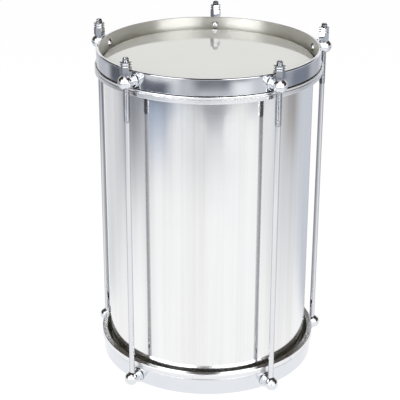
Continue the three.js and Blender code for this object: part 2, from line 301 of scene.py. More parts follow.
def rod_steel():
    material = metal(
        "rod_steel", (0.84, 0.85, 0.87), (0.74, 0.75, 0.78), (0.06, 0.12),
        (700, 700, 40), 0.001 * MM, (60, 60, 8), 0.01 * MM)
    tree = material.node_tree
    shader = tree.nodes["Principled BSDF"]
    out, aside, height = folded(tree)
    out = minus(tree, out, ROD_CIRCLE)
    below = THREAD_FOOT - 1 * MM
    # Painted shade in the grooves of the thread, at half strength from the thread's foot upwards.
    in_groove = ramp(tree, length_of(tree, out, aside), CREST_RADIUS - 0.1 * MM, SHANK_RADIUS)
    groove = times(tree, in_groove, ramp(tree, height, below, THREAD_FOOT, 0.0, 0.5))
    # Painted shade on the side of the rod that faces the shell, stronger along the thread.
    behind = ramp(tree, out, 0.3 * MM, -1.2 * MM)
    back_shade = times(tree, behind, ramp(tree, height, below, THREAD_FOOT, 0.45, 0.85))
    # Painted shade at the outline: Layer Weight's facing value darkens the colour where the
    # surface turns away from the view.
    facing = add_node(tree, "ShaderNodeLayerWeight", inputs={"Blend": 0.5}).outputs["Facing"]
    edge = times(tree, ramp(tree, facing, 0.35, 0.85), 0.7)
    # The strongest of the three painted shades blends the steel's colour towards the dark tone.
    painted_shade = calc(tree, "MAXIMUM", calc(tree, "MAXIMUM", groove, back_shade), edge)
    shaded_steel = blended(tree, painted_shade, feeding(shader, "Base Color"), ROD_SHADE_TONE)
    tree.links.new(shaded_steel, shader.inputs["Base Color"])
    return material


METALS["rod_steel"] = rod_steel()
# The grease in this print is painted shade in the grooves of the thread.
print(f"Grease fills the grooves of the thread down to {THREAD_FOOT / MM:.0f} mm")

# %% [markdown]
# ## A hoop with two faces
# The hoops are chromed steel bands. The outer face was polished before plating and reflects
# like a mirror; the inner face was left as it was rolled, so it reflects in soft streaks.
# The distance from the drum's axis tells the shader which face it is on.

# %% Chrome for the hoops
ROLLED_TINT = (0.92, 0.92, 0.88)
ROLLED_ROUGHNESS = 0.42
ROLLED_STREAKS = 0.88
ROLLED_DULLNESS = 0.25


def hoop_chrome():
    material = metal(
        "hoop_chrome", (0.80, 0.82, 0.86), (0.75, 0.77, 0.81), (0.03, 0.06),
        (1200, 3, 1200), 0.0006 * MM, (26, 26, 26), 0.05 * MM, rings=True)
    tree = material.node_tree
    shader = tree.nodes["Principled BSDF"]
    x, y, _ = own_place(tree)
    edge = HOOP_INNER + 0.6 * MM
    inside = ramp(tree, length_of(tree, x, y), edge, edge - 0.3 * MM)
    rolled = times(tree, inside, ROLLED_ROUGHNESS)
    tangent = add_node(tree, "ShaderNodeTangent", {"direction_type": "RADIAL", "axis": "Z"})
    for name, value in (
        ("Base Color", blended(tree, inside, feeding(shader, "Base Color"), ROLLED_TINT)),
        ("Roughness", plus(tree, feeding(shader, "Roughness"), rolled)),
        ("Metallic", minus(tree, 1.0, times(tree, inside, ROLLED_DULLNESS))),
        ("Anisotropic", times(tree, inside, ROLLED_STREAKS)),
        ("Tangent", tangent.outputs[0]),
    ):
        tree.links.new(value, shader.inputs[name])
    shader.inputs["Anisotropic Rotation"].default_value = 0.25
    return material


METALS["hoop_chrome"] = hoop_chrome()
print("The hoops' outer face is polished and their inner face is satin")

# %% [markdown]
# ## The heads
# A drum head is a sheet of milky polyester. It is a dielectric, so its colour is diffuse, and
# a clear gloss on top mirrors the hoop at a flat angle. Where the film bends over the bearing
# edge it is stretched and looks yellower. The collar below it carries painted shade, a dull
# dark olive, and from the foot of its slope outwards the film is near black, over the hem.

# %% Polyester film
MILKY = ((0.57, 0.57, 0.525), (0.61, 0.61, 0.565))
FILM_RINGS = (
    # from and to, in millimetres from the axis; tint
    (99.4, 100.4, (0.58, 0.55, 0.38)),
    # painted shade: the collar below the bearing edge turns a dark olive
    (101.6, 103.0, (0.26, 0.25, 0.17)),
    # from the foot of the slope outwards the film is near black, over the whole hem
    (105.4, 105.8, (0.02, 0.02, 0.02)),
)
FILM_GLOSS = {"IOR": 1.62, "Coat Weight": 1.0, "Coat Roughness": 0.03, "Coat IOR": 1.9}


def film_material():
    material, tree, shader = blank_material("polyester_film")
    cloud = placed_noise(tree, (22, 22, 22), 3.0)
    grain = placed_noise(tree, (1400, 1400, 1400))
    x, y, _ = own_place(tree)
    reach = length_of(tree, x, y)
    colour = blended(tree, cloud, *MILKY)
    for start, end, tint in FILM_RINGS:
        colour = blended(tree, ramp(tree, reach, start * MM, end * MM), colour, tint)
    tree.links.new(colour, shader.inputs["Base Color"])
    tree.links.new(spread(tree, grain, 0.05, 0.09), shader.inputs["Roughness"])
    tree.links.new(bumped(tree, [(grain, 0.001 * MM)]), shader.inputs["Normal"])
    for name, value in FILM_GLOSS.items():
        shader.inputs[name].default_value = value
    return material


FILM_FINISH = film_material()
print("The film changes its tint in", len(FILM_RINGS), "rings at its edge")

# %% [markdown]
# ## Turning on a lathe
# Nearly every piece of this drum is round. A lathe profile is a list of points, each a distance
# from the axis and a height, and turning it makes the solid. A profile that starts on the axis
# closes there; any other is a ring. Long straight runs get a point close to each end, so that
# smooth shading bends only at the rounded edges and leaves the flats flat.

# %% Lathe helpers
def arc(centre, radius, start, end, steps):
    """Points on an arc, with angles in degrees from outwards towards up."""
    turns = [math.radians(start + (end - start) * step / steps) for step in range(steps + 1)]
    return [(centre[0] + radius * math.cos(turn), centre[1] + radius * math.sin(turn))
            for turn in turns]


def braced(profile, margin, closed):
    """The profile with an extra point close to each end of every long run."""
    out = []
    count = len(profile)
    for index, (radius, height) in enumerate(profile):
        out.append((radius, height))
        if index == count - 1 and not closed:
            break
        after = profile[(index + 1) % count]
        run = math.hypot(after[0] - radius, after[1] - height)
        if run > 5 * margin:
            for share in (margin / run, 1 - margin / run):
                out.append((radius + (after[0] - radius) * share,
                            height + (after[1] - height) * share))
    return out


def as_mesh(mesh, name):
    data = bpy.data.meshes.new(name)
    mesh.to_mesh(data)
    mesh.free()
    return data


def turned(name, profile, facets, margin=0.2 * MM, sweep=2 * math.pi, start=0.0):
    """A mesh turned about Z. A sweep of less than a full turn gets a flat face at each end."""
    ring = profile[0][0] > 0
    points = braced(profile, margin, ring)
    whole = sweep > 2 * math.pi - 1e-9
    spokes = facets if whole else facets + 1
    mesh = bmesh.new()
    rows = []
    for spoke in range(spokes):
        angle = start + sweep * spoke / facets
        cos, sin = math.cos(angle), math.sin(angle)
        rows.append([mesh.verts.new((radius * cos, radius * sin, height))
                     for radius, height in points])
    count = len(points)
    for spoke in range(facets):
        here, after = rows[spoke], rows[(spoke + 1) % spokes]
        for index in range(count if ring else count - 1):
            up = (index + 1) % count
            mesh.faces.new((here[index], after[index], after[up], here[up]))
    if not whole:
        mesh.faces.new(rows[0])
        mesh.faces.new(rows[-1])
    bmesh.ops.remove_doubles(mesh, verts=mesh.verts, dist=1e-7)
    bmesh.ops.dissolve_degenerate(mesh, dist=1e-7, edges=mesh.edges)
    bmesh.ops.recalc_face_normals(mesh, faces=mesh.faces)
    return as_mesh(mesh, name)


def mirrored_end(profile):
    """The same profile at the other end of the drum."""
    return [(radius, RESONANT_FACE - height) for radius, height in reversed(profile)]


print("Lathe helpers: arc, braced, turned and mirrored_end")

# %% [markdown]
# ## Finishing a piece
# A finished piece is shaded smooth, with an edge kept sharp where two faces meet at a clear
# angle, and gets its finish. It is then attached to the body that carries it, and the CAD
# solids that it stands for are turned off in renders and in the viewport.

# %% Helpers that finish a piece
SHARP_ANGLE = math.radians(32)


def in_scene(name, data):
    thing = bpy.data.objects.new(name, data)
    bpy.context.scene.collection.objects.link(thing)
    return thing


def shown(data, material):
    piece = in_scene(data.name, data)
    data.materials.clear()
    data.materials.append(material)
    data.polygons.foreach_set("use_smooth", [True] * len(data.polygons))
    data.set_sharp_from_angle(angle=SHARP_ANGLE)
    return piece


def finish_piece(piece, body, nodes):
    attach(piece, body)
    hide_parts(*nodes)
    low, high = [[round(pick(corner[axis] for corner in piece.bound_box) / MM, 1)
                  for axis in range(3)] for pick in (min, max)]
    print(f"{piece.name}: {len(piece.data.polygons)} faces, from {low} to {high} mm, on {body}")


print(f"Edges stay sharp from {math.degrees(SHARP_ANGLE):.0f} degrees")

# %% [markdown]
# ## The shell
# The shell is an eight inch aluminium tube. Each end is rolled inwards into a round bearing
# edge, and the lip that is left is turned in under the head. 288 facets keep its outline round
# in a close view.

# %% Turn the shell
RING_FACETS = 288
EDGE_ROLL = 2.2 * MM
EDGE_LIP = 5 * MM


def rolled_end():
    centre = (SHELL_RADIUS - EDGE_ROLL, SHELL_TOP - EDGE_ROLL)
    outside = arc(centre, EDGE_ROLL, 0, 135, 12)
    inside = arc(centre, EDGE_ROLL - SHELL_WALL, 135, 0, 8)
    lip = EDGE_LIP * math.sqrt(0.5)
    under = [(radius - lip, height - lip) for radius, height in (outside[-1], inside[0])]
    return outside + under + inside


shell_profile = rolled_end() + mirrored_end(rolled_end())
tube = turned("polished_shell", shell_profile, RING_FACETS, 0.4 * MM)
shell = shown(tube, METALS["polished_aluminium"])
finish_piece(shell, "drum", ["shell"])

# %% [markdown]
# ## The two heads
# The film lies flat, wraps the bearing edge, slopes down to the flesh hoop and ends in a hem
# that is folded into the channel. The lower head is the same piece, upside down.

# %% Turn the heads
def film_profile():
    roll = Vector((SHELL_RADIUS - EDGE_ROLL, SHELL_TOP - EDGE_ROLL))
    wrap = EDGE_ROLL + SEAT_GAP + FILM
    foot = Vector((HOOP_INNER - SEAT_GAP, HEM_TOP))
    reach = foot - roll
    slope = math.degrees(math.atan2(reach.x, reach.y) - math.acos(wrap / reach.length))
    hem_inner = CHANNEL_INNER + CHANNEL_WALL + SEAT_GAP
    hem_outer = CHANNEL_OUTER - CHANNEL_WALL - SEAT_GAP
    hem_bottom = CHANNEL_BOTTOM + CHANNEL_WALL + SEAT_GAP
    mitre = FILM * math.tan(math.radians(slope / 2))
    under = arc(roll, wrap - FILM, 90, 90 - slope, 10)
    over = arc(roll, wrap, 90 - slope, 90, 10)
    return ([(0, -FILM)] + under
            + [(foot.x - mitre, HEM_TOP - FILM), (hem_inner, HEM_TOP - FILM),
               (hem_inner, hem_bottom), (hem_outer, hem_bottom), (hem_outer, HEM_TOP),
               (foot.x, HEM_TOP)]
            + over + [(0, FILM_TOP)])


for name, profile, node in (
    ("batter_film", film_profile(), "batter_head"),
    ("resonant_film", mirrored_end(film_profile()), "resonant_head"),
):
    film = shown(turned(name, profile, RING_FACETS, 0.3 * MM), FILM_FINISH)
    finish_piece(film, "drum", [node])

# %% [markdown]
# ## The flesh hoops
# The hem of each head sits in a flesh hoop: a strip of aluminium folded to a channel and bent
# round until its ends meet. The outer wall has two rolled lips with a shallow groove between
# them, and a hairline shows where the ends butt.

# %% Fold the flesh hoops
BUTT_GAP = 0.35 * MM
LIP = 0.4 * MM


def channel_profile():
    floor = CHANNEL_BOTTOM + CHANNEL_WALL
    inner_top = HEM_TOP - FILM - SEAT_GAP
    corner, edge, rim = 0.8 * MM, 0.25 * MM, 0.5 * MM
    upper = (CHANNEL_OUTER - rim, HEM_TOP - rim)
    groove = HEM_TOP - 1.7 * MM
    return (arc((CHANNEL_OUTER - corner, CHANNEL_BOTTOM + corner), corner, -90, 0, 5)
            + [(CHANNEL_OUTER, groove - 1.1 * MM), (CHANNEL_OUTER - LIP, groove - 0.6 * MM),
               (CHANNEL_OUTER - LIP, groove)]
            + arc(upper, rim, 0, 90, 4)
            + arc((CHANNEL_OUTER - CHANNEL_WALL + edge, HEM_TOP - edge), edge, 90, 180, 3)
            + [(CHANNEL_OUTER - CHANNEL_WALL, floor), (CHANNEL_INNER + CHANNEL_WALL, floor)]
            + arc((CHANNEL_INNER + CHANNEL_WALL - edge, inner_top - edge), edge, 0, 90, 3)
            + arc((CHANNEL_INNER + edge, inner_top - edge), edge, 90, 180, 3)
            + arc((CHANNEL_INNER + corner, CHANNEL_BOTTOM + corner), corner, 180, 270, 5))


def butt_angles(angle):
    half = BUTT_GAP / 2 / CHANNEL_OUTER
    return {"start": math.radians(angle) + half, "sweep": 2 * math.pi - 2 * half}


for name, profile, node, butt in (
    ("batter_channel_ring", channel_profile(), "batter_flesh_hoop", 118),
    ("resonant_channel_ring", mirrored_end(channel_profile()), "resonant_flesh_hoop", 323),
):
    strip = turned(name, profile, RING_FACETS, 0.15 * MM, **butt_angles(butt))
    ring = shown(strip, METALS["channel_aluminium"])
    finish_piece(ring, "drum", [node])

# %% [markdown]
# ## Cutting one solid with another
# A drill or a milling cutter is a solid too. The Boolean modifier takes its shape away, and the
# result is read back as a plain mesh.

# %% A Boolean helper
def read_back(work, name, tools=()):
    """The result of an object's modifiers as a plain mesh. The objects themselves go."""
    state = bpy.context.evaluated_depsgraph_get()
    done = bpy.data.meshes.new_from_object(work.evaluated_get(state))
    for thing in (work, *tools):
        bpy.data.objects.remove(thing)
    done.name = name
    return done


def cut(data, cutters, operation="DIFFERENCE"):
    work = in_scene("work", data)
    tools = [in_scene("tool", cutter) for cutter in cutters]
    for tool in tools:
        boolean = work.modifiers.new("cut", "BOOLEAN")
        boolean.object = tool
        boolean.operation = operation
        boolean.solver = "EXACT"
    return read_back(work, data.name, tools)


def moved(data, matrix):
    copy = data.copy()
    copy.transform(matrix)
    return copy


def outwards(data, height=0.0):
    """Lays a solid turned about Z along +X, as the pieces of a tuning station stand."""
    data.transform(Matrix.Translation((0, 0, height)) @ Matrix.Rotation(math.pi / 2, 4, "Y"))
    return data


print("Cutting helpers: cut, moved and outwards")

# %% [markdown]
# ## The hoops
# Each hoop is a flat steel band, drilled at the five stations for the lug screws. Its outer rim
# is rounded most, and that round shows as a thin line along the rim. The top hoop moves when
# the nuts are turned, and the bottom hoop stays with the drum.

# %% Turn and drill the hoops
def band_profile():
    foot, rim, lip = 0.45 * MM, 1.1 * MM, 0.6 * MM
    inner, outer = HOOP_INNER, HOOP_OUTER
    return (arc((outer - foot, HOOP_BOTTOM + foot), foot, -90, 0, 4)
            + arc((outer - rim, HOOP_TOP - rim), rim, 0, 90, 8)
            + arc((inner + lip, HOOP_TOP - lip), lip, 90, 180, 6)
            + arc((inner + foot, HOOP_BOTTOM + foot), foot, 180, 270, 4))


def drilled(data, height):
    radius, start, end = 2.3 * MM, 100 * MM, 115 * MM
    drill = outwards(turned("drill", [(0, start), (radius, start), (radius, end), (0, end)], 24),
                     height)
    angles = [FIRST_STATION + STATION_STEP * index for index in range(STATIONS)]
    return cut(data, [moved(drill, Matrix.Rotation(angle, 4, "Z")) for angle in angles])


for name, profile, height, body, node in (
    ("top_band", band_profile(), TOP_LUG_HEIGHT, "upper_hoop", "top_hoop"),
    ("bottom_band", mirrored_end(band_profile()), BOTTOM_LUG_HEIGHT, "drum", "bottom_hoop"),
):
    blank = turned(name, profile, RING_FACETS, 0.15 * MM)
    band = shown(drilled(blank, height), METALS["hoop_chrome"])
    finish_piece(band, body, [node])

# %% [markdown]
# ## Five of everything
# Lugs, screws and rods repeat at the five stations. A Geometry Nodes tree does that once for
# all of them: it makes one point for each copy on the drum's axis, turns each copy by its
# share of a full circle, makes the copies real and gives them their finish. The piece itself
# is modelled where it stands at the angle zero.

# %% The tree that repeats a piece round the drum
def new_tree(name, sockets):
    tree = bpy.data.node_groups.new(name, "GeometryNodeTree")
    face = tree.interface
    face.new_socket("Geometry", in_out="OUTPUT", socket_type="NodeSocketGeometry")
    face.new_socket("Geometry", in_out="INPUT", socket_type="NodeSocketGeometry")
    for label, kind in sockets:
        face.new_socket(label, in_out="INPUT", socket_type=kind)
    return tree, tree.nodes.new("NodeGroupInput").outputs, tree.nodes.new("NodeGroupOutput").inputs


def finish_tree(tree, geometry, finish, out):
    real = add_node(tree, "GeometryNodeRealizeInstances", inputs={0: geometry}).outputs[0]
    coat = add_node(tree, "GeometryNodeSetMaterial", inputs={"Geometry": real, "Material": finish})
    tree.links.new(coat.outputs[0], out[0])


def station_tree():
    tree, given, out = new_tree("repeat_at_stations", [
        ("Count", "NodeSocketInt"), ("First angle", "NodeSocketFloat"),
        ("Step", "NodeSocketFloat"), ("Finish", "NodeSocketMaterial")])
    points = add_node(tree, "GeometryNodePoints", inputs={"Count": given["Count"]})
    index = add_node(tree, "GeometryNodeInputIndex").outputs[0]
    turn = plus(tree, times(tree, index, given["Step"]), given["First angle"])
    angles = add_node(tree, "ShaderNodeCombineXYZ", inputs={"Z": turn}).outputs[0]
    copies = add_node(tree, "GeometryNodeInstanceOnPoints", inputs={
        "Points": points.outputs[0], "Instance": given["Geometry"], "Rotation": angles})
    finish_tree(tree, copies.outputs[0], given["Finish"], out)
    return tree


STATION_TREE = station_tree()


def set_tree(piece, tree, values):
    modifier = piece.modifiers.new(tree.name, "NODES")
    modifier.node_group = tree
    for item in tree.interface.items_tree:
        if item.in_out == "INPUT" and item.name in values:
            modifier[item.identifier] = values[item.name]


def plain_mesh(name, data, trees):
    """Runs the trees on a mesh and keeps the result as a plain mesh of its own."""
    work = in_scene("work", data)
    for tree, values in trees:
        set_tree(work, tree, values)
    return read_back(work, name)


def at_stations(name, data, finish, count=STATIONS, first=FIRST_STATION):
    values = {"Count": count, "First angle": first, "Step": STATION_STEP, "Finish": finish}
    return shown(plain_mesh(name, data, [(STATION_TREE, values)]), finish)


def numbered(stem):
    return [f"{stem}_{number + 1}" for number in range(STATIONS)]


print("One tree repeats each fitting at", STATIONS, "stations")

# %% [markdown]
# ## The lugs
# A lug is a turned and chromed post. Its base flange lies on the hoop, a hollow cove joins the
# flange to the neck, and the neck ends in a ball. A bore for the rod runs down through the
# ball, and a spot-faced seat takes the collar of the nut. A bottom lug is the same piece with a
# narrow countersink in place of the seat.

# %% Turn and bore the lugs
LUG_BASE = HOOP_OUTER + 0.12 * MM
LUG_BALL = 6.7 * MM
LUG_BALL_CENTRE = ROD_CIRCLE + 1.5 * MM
LUG_NECK = 4.9 * MM
SEAT_RISE = 3.4 * MM
NUT_COLLAR = 4.5 * MM
BORE_RADIUS = 3.2 * MM
LUG_FACETS = 96
TAPPED_RADIUS = 2.2 * MM
TAPPED_DEPTH = 3.6 * MM


def lug_mesh(seat_radius):
    flange, edge, width, cove = 7.6 * MM, 0.5 * MM, 2 * MM, 0.9 * MM
    root = LUG_BASE + width
    neck = Vector((LUG_NECK, root + cove - LUG_BALL_CENTRE))
    ball_start = math.degrees(math.atan2(neck.y, neck.x) + math.acos(LUG_BALL / neck.length))
    profile = ([(0, LUG_BASE + TAPPED_DEPTH), (TAPPED_RADIUS, LUG_BASE + TAPPED_DEPTH),
                (TAPPED_RADIUS, LUG_BASE)]
               + arc((flange - edge, LUG_BASE + edge), edge, -90, 0, 4)
               + arc((flange - edge, root - edge), edge, 0, 90, 4)
               + arc((LUG_NECK + cove, root + cove), cove, -90, -180, 10)
               + arc((0, LUG_BALL_CENTRE), LUG_BALL, ball_start, 90, 28))
    post = outwards(turned("lug", profile, LUG_FACETS, 0.2 * MM))
    reach = LUG_BALL + 1 * MM
    bore = turned("bore", [
        (0, -reach), (BORE_RADIUS, -reach), (BORE_RADIUS, SEAT_RISE), (seat_radius, SEAT_RISE),
        (seat_radius, reach), (0, reach)], 48)
    bore.transform(Matrix.Translation((ROD_CIRCLE, 0, 0)))
    return cut(post, [bore])


for name, height, body, stem, seat_radius in (
    ("top_lugs", TOP_LUG_HEIGHT, "upper_hoop", "top_lug", NUT_COLLAR + 0.05 * MM),
    ("bottom_lugs", BOTTOM_LUG_HEIGHT, "drum", "bottom_lug", BORE_RADIUS + 0.4 * MM),
):
    lug = moved(lug_mesh(seat_radius), Matrix.Translation((0, 0, height)))
    lugs = at_stations(name, lug, METALS["lug_chrome"])
    finish_piece(lugs, body, numbered(stem))

# %% [markdown]
# ## The lug screws
# Each lug is held by a dome-headed screw from inside the hoop. The dome carries a small cross
# recess for the screwdriver, milled here with two crossed blades.

# %% Turn the lug screws
def screw_mesh():
    seat, tip = HOOP_INNER - 0.1 * MM, LUG_BASE + 3.4 * MM
    head, rise, edge = 4 * MM, 2.1 * MM, 0.5 * MM
    dome = (head ** 2 + rise ** 2) / (2 * rise)
    rim = math.degrees(math.asin(head / dome))
    profile = (arc((0, seat - edge - rise + dome), dome, -90, rim - 90, 10)
               + [(head, seat), (2 * MM, seat), (2 * MM, tip), (0, tip)])
    screw = outwards(turned("screw", profile, 48, 0.15 * MM))
    blades = []
    for turn in (0, math.pi / 2):
        blade = bmesh.new()
        bmesh.ops.create_cube(blade, size=1.0)
        size = Matrix.Diagonal((2.4 * MM, 4.2 * MM, 0.75 * MM, 1))
        place = Matrix.Translation((seat - edge - rise, 0, 0)) @ Matrix.Rotation(turn, 4, "X")
        bmesh.ops.transform(blade, matrix=place @ size, verts=blade.verts)
        blades.append(as_mesh(blade, "blade"))
    return cut(screw, blades)


screw = screw_mesh()
for name, height, body, stem in (
    ("top_lug_screws", TOP_LUG_HEIGHT, "upper_hoop", "top_lug_screw"),
    ("bottom_lug_screws", BOTTOM_LUG_HEIGHT, "drum", "bottom_lug_screw"),
):
    placed = moved(screw, Matrix.Translation((0, 0, height)))
    screws = at_stations(name, placed, METALS["lug_chrome"])
    finish_piece(screws, body, numbered(stem))

# %% [markdown]
# ## A thread as a rule
# A screw thread is one groove that winds round a rod. In the tree a flat grid is rolled into a
# tube: one direction of the grid runs round the rod, and each row also climbs by one pitch in
# each turn, so the rows follow the thread. Four rows make one turn of the thread: two at its
# root and two at its crest. Both ends run out at 45 degrees, which also points the rod's tip.

# %% The tree that rolls a thread
def thread_tree():
    tree, given, out = new_tree("roll_thread", [
        ("Bottom", "NodeSocketFloat"), ("Top", "NodeSocketFloat"), ("Pitch", "NodeSocketFloat"),
        ("Root radius", "NodeSocketFloat"), ("Crest radius", "NodeSocketFloat"),
        ("Bottom radius", "NodeSocketFloat"), ("Top radius", "NodeSocketFloat"),
        ("Sides", "NodeSocketInt"), ("Finish", "NodeSocketMaterial")])
    length = minus(tree, given["Top"], given["Bottom"])
    turns = plus(tree, calc(tree, "CEIL", calc(tree, "DIVIDE", length, given["Pitch"])), 1.0)
    rows = times(tree, turns, 4.0)
    grid = add_node(tree, "GeometryNodeMeshGrid", inputs={
        "Size X": 1.0, "Size Y": 1.0, "Vertices X": plus(tree, rows, 1.0),
        "Vertices Y": plus(tree, given["Sides"], 1.0)}).outputs[0]
    place = add_node(tree, "GeometryNodeInputPosition").outputs[0]
    parts = add_node(tree, "ShaderNodeSeparateXYZ", inputs={0: place}).outputs
    row = calc(tree, "ROUND", times(tree, plus(tree, parts[0], 0.5), rows))
    share = plus(tree, parts[1], 0.5)
    climb = plus(tree, minus(tree, calc(tree, "DIVIDE", row, 4.0), 1.0), share)
    raw = plus(tree, given["Bottom"], times(tree, climb, given["Pitch"]))
    height = calc(tree, "MAXIMUM", calc(tree, "MINIMUM", raw, given["Top"]), given["Bottom"])
    crest = calc(tree, "GREATER_THAN", calc(tree, "MODULO", row, 4.0), 1.5)
    depth = minus(tree, given["Crest radius"], given["Root radius"])
    cut_radius = plus(tree, given["Root radius"], times(tree, crest, depth))
    below = plus(tree, given["Bottom radius"], minus(tree, height, given["Bottom"]))
    above = plus(tree, given["Top radius"], minus(tree, given["Top"], height))
    limited = calc(tree, "MINIMUM", cut_radius, calc(tree, "MINIMUM", below, above))
    at_bottom = calc(tree, "LESS_THAN", raw, plus(tree, given["Bottom"], 1e-7))
    at_top = calc(tree, "GREATER_THAN", raw, minus(tree, given["Top"], 1e-7))
    ends = plus(tree, times(tree, at_bottom, given["Bottom radius"]),
                times(tree, at_top, given["Top radius"]))
    between = minus(tree, 1.0, plus(tree, at_bottom, at_top))
    radius = plus(tree, ends, times(tree, between, limited))
    angle = times(tree, share, 2 * math.pi)
    spot = add_node(tree, "ShaderNodeCombineXYZ", inputs={
        "X": times(tree, radius, calc(tree, "COSINE", angle)),
        "Y": times(tree, radius, calc(tree, "SINE", angle)), "Z": height}).outputs[0]
    rolled = add_node(tree, "GeometryNodeSetPosition", inputs={"Geometry": grid, "Position": spot})
    both = add_node(tree, "GeometryNodeJoinGeometry")
    tree.links.new(rolled.outputs[0], both.inputs[0])
    tree.links.new(given["Geometry"], both.inputs[0])
    welded = add_node(tree, "GeometryNodeMergeByDistance", inputs={
        "Geometry": both.outputs[0], "Distance": 1e-6}).outputs[0]
    finish_tree(tree, welded, given["Finish"], out)
    return tree


THREAD_TREE = thread_tree()
print("The thread tree has", len(THREAD_TREE.nodes), "nodes")

# %% [markdown]
# ## The rods
# Each rod is a six millimetre steel rod: a long rolled thread for the nut at the top, a plain
# shank, and a short thread that is screwed into the bottom lug. The shank is thinner than the
# crests, as on any rod whose thread is rolled and not cut.

# %% Roll the rods
ROD_SIDES = 24
ROD_BOTTOM = BOTTOM_LUG_HEIGHT - LUG_BALL - 0.6 * MM
TIP_RADIUS = 1.9 * MM
THREAD = {"Pitch": 1 * MM, "Root radius": 2.42 * MM, "Crest radius": CREST_RADIUS,
          "Sides": ROD_SIDES}
UPPER_THREAD = {**THREAD, "Bottom": THREAD_FOOT, "Top": ROD_TOP,
                "Bottom radius": SHANK_RADIUS, "Top radius": TIP_RADIUS}
LOWER_THREAD = {**THREAD, "Bottom": ROD_BOTTOM, "Top": BOTTOM_LUG_HEIGHT + SEAT_RISE + 0.4 * MM,
                "Bottom radius": TIP_RADIUS, "Top radius": SHANK_RADIUS}


def plain_rod():
    mesh = bmesh.new()
    rings = []
    for radius, height in ((TIP_RADIUS, ROD_BOTTOM), (SHANK_RADIUS, LOWER_THREAD["Top"]),
                           (SHANK_RADIUS, UPPER_THREAD["Bottom"]), (TIP_RADIUS, ROD_TOP)):
        turns = [2 * math.pi * side / ROD_SIDES for side in range(ROD_SIDES)]
        rings.append([mesh.verts.new((radius * math.cos(turn), radius * math.sin(turn), height))
                      for turn in turns])
    mesh.faces.new(list(reversed(rings[0])))
    mesh.faces.new(rings[3])
    for side in range(ROD_SIDES):
        after = (side + 1) % ROD_SIDES
        mesh.faces.new((rings[1][side], rings[1][after], rings[2][after], rings[2][side]))
    return as_mesh(mesh, "rod")


steel = METALS["rod_steel"]
threads = [(THREAD_TREE, {**values, "Finish": steel}) for values in (UPPER_THREAD, LOWER_THREAD)]
rod = plain_mesh("rod", plain_rod(), threads)
rod.transform(Matrix.Translation((ROD_CIRCLE, 0, 0)))
rods = at_stations("tension_rods", rod, steel)
finish_piece(rods, "drum", numbered("tension_rod"))

# %% [markdown]
# ## The tuning nuts
# A tuning nut starts as hexagon bar. A lathe turns its collar and its chamfers and cuts two
# ring grooves near the top, so the nut is what the bar and the turned outline have in common.
# Each nut is a piece of its own, because each one turns on its own rod. The chamfers are so
# shallow that the nuts need a smaller sharp angle, or their flats would look rounded.

# %% Turn the tuning nuts
NUT_BOTTOM = TOP_LUG_HEIGHT + SEAT_RISE + SEAT_GAP
NUT_HEX_BOTTOM = NUT_BOTTOM + 3.2 * MM
NUT_TOP = NUT_HEX_BOTTOM + 12.75 * MM
ACROSS_FLATS = 9.5 * MM
NUT_CORNER = ACROSS_FLATS / math.sqrt(3)
NUT_TURNS = (-15, 16, 13, -6, 14)
NUT_SHARP_ANGLE = math.radians(18)


def hexagon_bar():
    soft = 0.35 * MM
    centre = NUT_CORNER - soft / math.cos(math.radians(30))
    outline = []
    for index in range(6):
        for step in range(-2, 3):
            angle, bend = math.radians(60 * index), math.radians(60 * index + 15 * step)
            outline.append((centre * math.cos(angle) + soft * math.cos(bend),
                            centre * math.sin(angle) + soft * math.sin(bend)))
    mesh = bmesh.new()
    low = [mesh.verts.new((x, y, NUT_BOTTOM - 2 * MM)) for x, y in outline]
    high = [mesh.verts.new((x, y, NUT_TOP + 2 * MM)) for x, y in outline]
    mesh.faces.new(list(reversed(low)))
    mesh.faces.new(high)
    for index in range(len(outline)):
        after = (index + 1) % len(outline)
        mesh.faces.new((low[index], low[after], high[after], high[index]))
    return as_mesh(mesh, "bar")


def nut_outline():
    """From the bore outwards, up past two ring grooves, and back to the bore."""
    flat, edge = ACROSS_FLATS / 2, 0.2 * MM
    bore, wide, chamfer = 3.05 * MM, NUT_CORNER + 1 * MM, 0.35 * MM
    floor, width = 4.3 * MM, 0.45 * MM
    points = [(bore, NUT_BOTTOM), (NUT_COLLAR - edge, NUT_BOTTOM), (NUT_COLLAR, NUT_BOTTOM + edge),
              (NUT_COLLAR, NUT_HEX_BOTTOM), (NUT_CORNER - chamfer, NUT_HEX_BOTTOM),
              (wide, NUT_HEX_BOTTOM + 2 * chamfer)]
    for drop in (3.9 * MM, 1.6 * MM):
        low, high = NUT_TOP - drop - width, NUT_TOP - drop
        points += [(wide, low - 1.2 * MM), (flat + 0.1 * MM, low - 0.8 * MM),
                   (flat - 0.18 * MM, low - 0.1 * MM), (floor, low), (floor, high),
                   (flat, high + 0.1 * MM), (wide, high + 0.4 * MM)]
    return points + [(wide, NUT_TOP - 0.9 * MM), (flat, NUT_TOP - 0.3 * MM),
                     (flat - 0.4 * MM, NUT_TOP), (bore + 0.5 * MM, NUT_TOP),
                     (bore, NUT_TOP - 0.5 * MM)]


nut = cut(turned("nut", nut_outline(), 96, 0.2 * MM), [hexagon_bar()], "INTERSECT")
for index in range(STATIONS):
    station = FIRST_STATION + STATION_STEP * index
    own_turn = Matrix.Rotation(math.radians(NUT_TURNS[index]), 4, "Z")
    placed = moved(nut, Matrix.Translation((ROD_CIRCLE, 0, 0)) @ own_turn)
    piece = at_stations(f"hexagon_nut_{index + 1}", placed, METALS["lug_chrome"], 1, station)
    piece.data.set_sharp_from_angle(angle=NUT_SHARP_ANGLE)
    finish_piece(piece, f"nut_{index + 1}", [f"tuning_nut_{index + 1}"])
